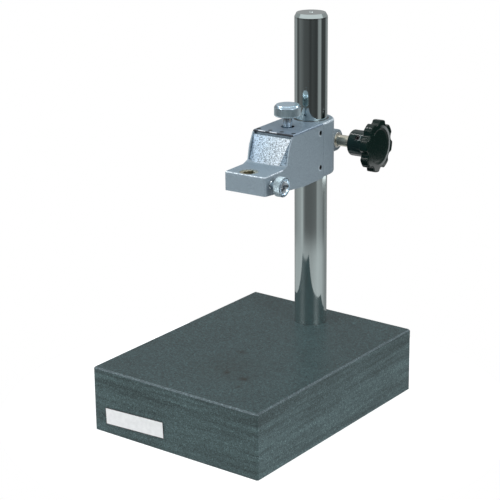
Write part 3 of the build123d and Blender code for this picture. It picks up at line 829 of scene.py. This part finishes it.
class STAND_OT_name_plate(Operator):
    """Builds the bare foil name plate, with a fine pressed line round it"""
    bl_idname = "stand.name_plate"
    bl_label = "Name plate"

    def execute(self, context):
        foil = label_finish()
        piece = merged_copy("name_plate")
        bpy.ops.object.mode_set(mode="EDIT")
        pick(piece, lambda face: face.normal.y < -STRAIGHT)
        # in to the line, down its wall, over its floor and out again
        for inwards, outwards in ((0.35, 0.0), (0.12, -0.10), (0.25, 0.0), (0.12, 0.10)):
            bpy.ops.mesh.inset(thickness=inwards * MM, depth=outwards * MM)
        bpy.ops.object.mode_set(mode="OBJECT")
        soften(piece, 0.06 * MM, degrees=50)
        settle(piece, "bare_name_plate", foil, "name_plate")
        return {"FINISHED"}


class STAND_OT_castings(Operator):
    """Builds the clamp body, the arm and its top plate with softened edges"""
    bl_idname = "stand.castings"
    bl_label = "Castings"

    def execute(self, context):
        satin = satin_finish(context.scene.stand_bracket)
        soft_copy("clamp_body", "clamp_casting", satin, 0.35)
        soft_copy("arm_casting", "arm", satin, 0.35)
        soft_copy("top_plate", "cover_plate", plate_finish(), 0.2)
        return {"FINISHED"}


class STAND_OT_cast_web(Operator):
    """Builds the rough cast skin of the web in front of the arm"""
    bl_idname = "stand.cast_web"
    bl_label = "Cast web"

    columns: IntProperty(name="Columns", description="Faces across the skin", default=150)
    rows: IntProperty(name="Rows", description="Faces up the skin", default=100)

    def execute(self, context):
        settings = context.scene.stand_bracket

        def edge(corner, reach, end_reach, height):
            """One edge of the web's front, from left to right over its two corners."""
            line = ((-WEB_END, end_reach), (-corner, reach), (corner, reach), (WEB_END, end_reach))
            return [Vector((across, -out * MM, height)) for across, out in line]

        foot = edge(WEB_FOOT_CORNER, 62.5, 60.3, DECK_HEIGHT)
        top = edge(WEB_TOP_CORNER, 54.0, 53.5, WEB_TOP_HEIGHT)
        # where these four points lie, as shares of the grid's width
        corners = (0.0, 0.17, 0.83, 1.0)
        cove, bulge, proud = 1.3 * MM, 0.45 * MM, 0.12 * MM
        fading = 3

        def along(line, share):
            """The point of an edge at this share of the way."""
            i = next((i for i in range(2) if share <= corners[i + 1]), 2)
            return line[i].lerp(line[i + 1], (share - corners[i]) / (corners[i + 1] - corners[i]))

        piece = end(begin("grid", x_subdivisions=self.columns, y_subdivisions=self.rows, size=2))
        for vertex in piece.data.vertices:
            across, up = (vertex.co.x + 1) / 2, (vertex.co.y + 1) / 2
            point = along(foot, across).lerp(along(top, across), up)
            # the skin stands a little proud, bellies out and runs into the deck in a small cove
            flare = max(0.0, 1 - up * (WEB_TOP_HEIGHT - DECK_HEIGHT) / (2.2 * cove)) ** 2
            belly = bulge * (1 - (2 * across - 1) ** 2) * math.sin(math.pi * min(1.0, up + 0.12))
            point.y -= proud + cove * flare + max(0.0, belly)
            vertex.co = point
        fade = piece.vertex_groups.new(name="fade")
        for vertex in piece.data.vertices:
            row, column = divmod(vertex.index, self.columns + 1)
            margin = min(row, self.rows - row, column, self.columns - column)
            fade.add([vertex.index], min(1.0, margin / fading), "REPLACE")
        for kind, size, share in (("VORONOI", settings.grain, 1.0), ("CLOUDS", settings.grain * 0.9, 0.9)):
            lumps = bpy.data.textures.new(f"cast_{kind.lower()}", kind)
            lumps.noise_scale = size
            shape(
                piece, "DISPLACE", texture=lumps, texture_coords="LOCAL", strength=settings.relief * share,
                mid_level=0.5, vertex_group="fade")
        shape(piece, "SOLIDIFY", thickness=0.7 * MM, offset=-1 if piece.data.polygons[0].normal.y < 0 else 1)
        take(piece)
        bpy.ops.object.shade_smooth()
        settle(piece, "cast_web_skin", cast_finish(settings), "arm_casting", BRACKET, replace=False)
        return {"FINISHED"}


class STAND_OT_clamp(Operator):
    """Builds the clamp's washer, threaded spindle and set screw, and finishes its sleeve and star knob"""
    bl_idname = "stand.clamp"
    bl_label = "Clamp"

    def execute(self, context):
        steel = metal_finish("turned_steel", context.scene.stand_metal.steel, 0.22)
        zinc = metal_finish("washer_steel", (0.60, 0.61, 0.58), 0.30)
        soft_copy("clamp_washer", "ear_washer", zinc, 0.18)
        # painted shade: the sleeve is dark, standing in for the shaded gap round the column
        dress("clamp_liner", metal_finish("oiled_sleeve", (0.10, 0.10, 0.10), 0.4))
        rod = threaded_rod(root=3.45 * MM, crest=4.0 * MM, pitch=1.25 * MM, low=-9.2 * MM, high=10.4 * MM)
        spindle = join(35, turned(SPINDLE_BODY), rod)
        settle(spindle, "threaded_spindle", steel, "clamp_spindle", SPINDLE)
        dress("clamp_knob", knob_finish())
        black = metal_finish("set_screw_steel", (0.06, 0.06, 0.065), 0.34)
        soft_copy("knob_set_screw", "hub_set_screw", black, 0.12)
        return {"FINISHED"}


class STAND_OT_small_screws(Operator):
    """Builds the small dark screws with softened edges"""
    bl_idname = "stand.small_screws"
    bl_label = "Small screws"

    def execute(self, context):
        black = metal_finish("blackened_steel", (0.030, 0.032, 0.036), 0.40)
        soft_copy("top_plate_screws", "cover_plate_screws", black, 0.08)
        soft_copy("side_screws", "cheek_screws", black, 0.08)
        return {"FINISHED"}


class STAND_OT_fine_adjustment(Operator):
    """Builds the knurled fine screw with its clip and nut, and the spring that it presses"""
    bl_idname = "stand.fine_adjustment"
    bl_label = "Fine adjustment"

    def execute(self, context):
        nickel = knurled_finish(
            "nickel_plating", context.scene.stand_metal.nickel, FINE_SCREW, rim=9.45 * MM, low=50.9 * MM,
            high=57.35 * MM)
        ridges = 64
        head = turned(FINE_HEAD, sides=4 * ridges)
        knurl(head, radius=10.0 * MM, low=51.4 * MM, high=57.2 * MM, ridges=ridges, depth=0.45 * MM)
        screw = join(30, head, turned(FINE_SHANK, sides=64))
        settle(screw, "knurled_fine_screw", nickel, "fine_screw", FINE_SCREW)
        black = metal_finish("clip_steel", (0.055, 0.055, 0.06), 0.36)
        soft_copy("fine_clip", "retaining_clip", black, 0.1)
        soft_copy("fine_nut", "bronze_nut", metal_finish("nut_bronze", (0.50, 0.34, 0.18), 0.35), 0.25)
        spring = merged_copy("return_spring")
        smooth(spring, 40)
        settle(spring, "coil_spring", metal_finish("spring_wire", (0.34, 0.34, 0.36), 0.3), "return_spring")
        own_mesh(spring)
        return {"FINISHED"}


class STAND_OT_stem_clamp(Operator):
    """Builds the gauge stem's bush, its pad and the knurled clamp screw"""
    bl_idname = "stand.stem_clamp"
    bl_label = "Stem clamp"

    def execute(self, context):
        metals = context.scene.stand_metal
        # painted shade: the stem screw's nickel is a darker copy of the fine screw's
        nickel = knurled_finish(
            "screw_nickel", tint(metals.nickel, 0.80), STEM_SCREW, rim=6.75 * MM, low=23.4 * MM,
            high=28.75 * MM)
        brass = metal_finish("turned_brass", metals.brass, 0.28)
        soft_copy("stem_bush", "split_bush", brass, 0.3)
        soft_copy("stem_clamp_pad", "brass_pad", brass, 0.3)
        ridges = 46
        head = turned(STEM_HEAD, sides=4 * ridges)
        knurl(head, radius=7.3 * MM, low=23.9 * MM, high=28.7 * MM, ridges=ridges, depth=0.32 * MM)
        slot = begin("cube", size=1)
        bpy.ops.transform.resize(value=(1.3 * MM, 8.4 * MM, 2.4 * MM))
        bpy.ops.object.mode_set(mode="OBJECT")
        slot.location = (0, 0, 27.7 * MM)
        shape(head, "BOOLEAN", object=slot, operation="DIFFERENCE", solver="EXACT")
        bpy.data.objects.remove(slot)
        rod = threaded_rod(root=2.6 * MM, crest=3.0 * MM, pitch=1.0 * MM, low=8.7 * MM, high=18.3 * MM)
        screw = join(32, head, rod, turned(STEM_NECK, sides=64))
        settle(screw, "knurled_stem_screw", nickel, "stem_clamp_screw", STEM_SCREW)
        return {"FINISHED"}


# Studio

# What the polished pieces see round the stand, from below it up. Each band starts between two heights
# and holds the azimuth from the camera's side in degrees with a grey from 0 to 1.
CARDS = (
    (-0.600, -0.599, (
        (-180, 0.26), (-130, 0.50), (-60, 0.56), (0, 0.46), (50, 0.62), (85, 0.54), (105, 0.34),
        (180, 0.26))),
    (-0.145, -0.115, (
        (-180, 0.26), (-130, 0.33), (-104, 0.40), (-78, 0.46), (-68, 0.58), (-60, 0.52), (-52, 0.25),
        (-38, 0.14), (0, 0.14), (34, 0.17), (46, 0.42), (84, 0.32), (97, 0.20), (105, 0.18), (117, 0.28),
        (130, 0.34), (180, 0.26))),
    (-0.052, -0.046, (
        (-180, 0.26), (-104, 0.40), (-60, 0.52), (-38, 0.14), (34, 0.17), (46, 0.42), (84, 0.32), (92, 1.5),
        (125, 1.7), (132, 0.34), (180, 0.26))),
    (-0.020, -0.014, (
        (-180, 0.24), (-140, 0.34), (-118, 0.36), (-108, 0.085), (-95, 0.10), (-86, 0.19), (-66, 0.15),
        (-50, 0.10), (-20, 0.085), (-7, 0.05), (7, 0.075), (35, 0.052), (43, 0.07), (50, 0.34), (68, 0.40),
        (76, 0.06), (117, 0.07), (124, 0.32), (150, 0.30), (180, 0.24))),
    (0.160, 0.260, ((-180, 0.42), (-90, 0.50), (0, 0.36), (90, 0.46), (180, 0.42))),
)


def look_from(azimuth, elevation):
    """Unit vector from the target towards a viewer."""
    flat = math.cos(elevation)
    return Vector((math.sin(azimuth) * flat, -math.cos(azimuth) * flat, math.sin(elevation)))


def add_camera(settings):
    deselect_all()
    bpy.ops.object.camera_add()
    camera = bpy.context.object
    back = look_from(settings.azimuth, settings.elevation)
    right = Vector((math.cos(settings.azimuth), math.sin(settings.azimuth), 0))
    axes = Matrix((right, back.cross(right), back)).transposed() @ Matrix.Rotation(settings.roll, 3, "Z")
    place = Vector(settings.target) + back * settings.distance
    camera.matrix_world = Matrix.Translation(place) @ axes.to_4x4()
    camera.data.lens = settings.lens
    camera.data.sensor_width = 36.0
    bpy.context.scene.camera = camera


def add_softbox(name, azimuth, elevation, size, power, reach=1.3):
    """White area light facing the stand's middle, its direction in degrees and its power in watts."""
    deselect_all()
    bpy.ops.object.light_add(type="AREA")
    lamp = bpy.context.object
    lamp.name = name
    middle = (cad_box[0] + cad_box[1]) / 2
    away = look_from(math.radians(azimuth), math.radians(elevation))
    facing = away.to_track_quat("Z", "Y").to_matrix().to_4x4()
    lamp.matrix_world = Matrix.Translation(middle + away * reach) @ facing
    lamp.data.shape = "RECTANGLE"
    lamp.data.size, lamp.data.size_y = size
    lamp.data.energy = power


def add_table(settings):
    """Pale table, white to the camera where nothing shades it."""
    table = end(begin(
        "circle", vertices=128, radius=settings.table_radius, fill_type="NGON", location=(0, 0, -0.1 * MM)))
    table.name = "table"
    paint = Finish("table_paint")
    paint.surface(base_color=(0.44, 0.45, 0.46), roughness=0.9, specular_ior_level=0.05)
    reach = paint.math("DIVIDE", paint.distance((0, 0, 0)), settings.table_radius)
    glow = paint.add("Emission", Strength=paint.ramp(reach, (0.70, 0.76), (0.98, 1.0)))
    bare = paint.shader.outputs[0]
    both = paint.add("AddShader", bare, glow.outputs[0])
    choice = paint.add("MixShader", paint.seen(), bare, both.outputs[0])
    paint.put(paint.tree.nodes["Material Output"].inputs["Surface"], choice.outputs[0])
    table.data.materials.append(paint.material)


def add_surround(settings):
    """Ring of pale and dark cards round the stand, which only shows in polished pieces."""
    drop = 0.6
    ring = begin(
        "circle", vertices=180, radius=settings.ring_radius, location=COLUMN_FOOT + Vector((0, 0, -drop)))
    bpy.ops.mesh.select_all(action="SELECT")
    bpy.ops.mesh.extrude_region_move(TRANSFORM_OT_translate={"value": (0, 0, drop + settings.ring_top)})
    end(ring)
    ring.name = "reflection_ring"
    cards = Finish("reflection_cards")
    x = cards.math("SUBTRACT", cards.axis(cards.place, "X"), COLUMN_FOOT.x)
    y = cards.math("SUBTRACT", COLUMN_FOOT.y, cards.axis(cards.place, "Y"))
    azimuth = cards.math("SUBTRACT", cards.math("ARCTAN2", x, y), settings.azimuth)
    turn = cards.math("WRAP", cards.math("DIVIDE", azimuth, math.tau), 0.5, -0.5)
    share = cards.math("ADD", turn, 0.5)
    height = cards.math("ADD", cards.axis(cards.place, "Z"), drop)
    grey = (0, 0, 0)
    for low, high, stops in CARDS:
        band = cards.ramp(share, *((0.5 + degrees / 360, level) for degrees, level in stops))
        grey = cards.blend(cards.ramp(height, (low + drop, 0.0), (high + drop, 1.0)), grey, band)
    glow = cards.add("Emission", grey)
    cards.put(cards.tree.nodes["Material Output"].inputs["Surface"], glow.outputs[0])
    ring.data.materials.append(cards.material)
    ring.visible_camera = False
    ring.visible_diffuse = False
    ring.visible_shadow = False


def add_world():
    """Air that is dim and bluish as light, and white where it is seen."""
    world = bpy.data.worlds.new("studio_air")
    bpy.context.scene.world = world
    world.use_nodes = True
    world.node_tree.nodes.clear()
    air = Nodes(world.node_tree)
    light = air.add("Background", (0.93, 0.97, 1.0), 0.36)
    sight = air.add("Background", (1, 1, 1), 1.0)
    choice = air.add("MixShader", air.seen(), light.outputs[0], sight.outputs[0])
    air.add("OutputWorld", choice.outputs[0])


class STAND_OT_studio(Operator):
    """Adds the table, the cards, the lights and the camera"""
    bl_idname = "stand.studio"
    bl_label = "Studio"

    def execute(self, context):
        settings = context.scene.stand_studio
        add_table(settings)
        add_surround(settings)
        add_world()
        add_softbox("left_key", azimuth=-28, elevation=27, size=(0.45, 0.6), power=settings.left_power)
        add_softbox("right_key", azimuth=79, elevation=27, size=(0.45, 0.6), power=settings.right_power)
        add_softbox("overhead_strip", azimuth=37, elevation=80, size=(0.7, 0.10), power=0.7, reach=1.2)
        add_softbox("left_strip", azimuth=-100, elevation=54, size=(0.07, 0.45), power=1.8)
        add_softbox("left_box", azimuth=-62, elevation=49, size=(0.25, 0.25), power=1.6)
        add_softbox("rim_box", azimuth=158, elevation=36, size=(0.35, 0.25), power=2.0)
        add_camera(settings)
        context.scene.view_settings.view_transform = "Standard"
        return {"FINISHED"}


OPERATORS = (
    STAND_OT_granite,
    STAND_OT_name_plate,
    STAND_OT_column,
    STAND_OT_castings,
    STAND_OT_cast_web,
    STAND_OT_clamp,
    STAND_OT_small_screws,
    STAND_OT_fine_adjustment,
    STAND_OT_stem_clamp,
    STAND_OT_studio,
)


class STAND_PT_pieces(Panel):
    bl_idname = "STAND_PT_pieces"
    bl_label = "Comparator Stand"
    bl_space_type = "VIEW_3D"
    bl_region_type = "UI"
    bl_category = "Stand"

    def draw(self, context):
        for operator in OPERATORS:
            self.layout.operator(operator.bl_idname)
        for name, group in SETTINGS.items():
            box = self.layout.box()
            for setting in group.__annotations__:
                box.prop(getattr(context.scene, name), setting)


def register():
    for group in SETTINGS.values():
        bpy.utils.register_class(group)
    for name, group in SETTINGS.items():
        setattr(bpy.types.Scene, name, PointerProperty(type=group))
    for made in (*OPERATORS, STAND_PT_pieces):
        bpy.utils.register_class(made)


def unregister():
    for made in (STAND_PT_pieces, *reversed(OPERATORS)):
        bpy.utils.unregister_class(made)
    for name, group in SETTINGS.items():
        delattr(bpy.types.Scene, name)
        bpy.utils.unregister_class(group)


def main():
    register()
    bpy.ops.stand.granite()
    bpy.ops.stand.name_plate()
    bpy.ops.stand.column()
    bpy.ops.stand.castings()
    bpy.ops.stand.cast_web()
    bpy.ops.stand.clamp()
    bpy.ops.stand.small_screws()
    bpy.ops.stand.fine_adjustment()
    bpy.ops.stand.stem_clamp()
    bpy.ops.stand.studio()


if __name__ == "__main__":
    main()
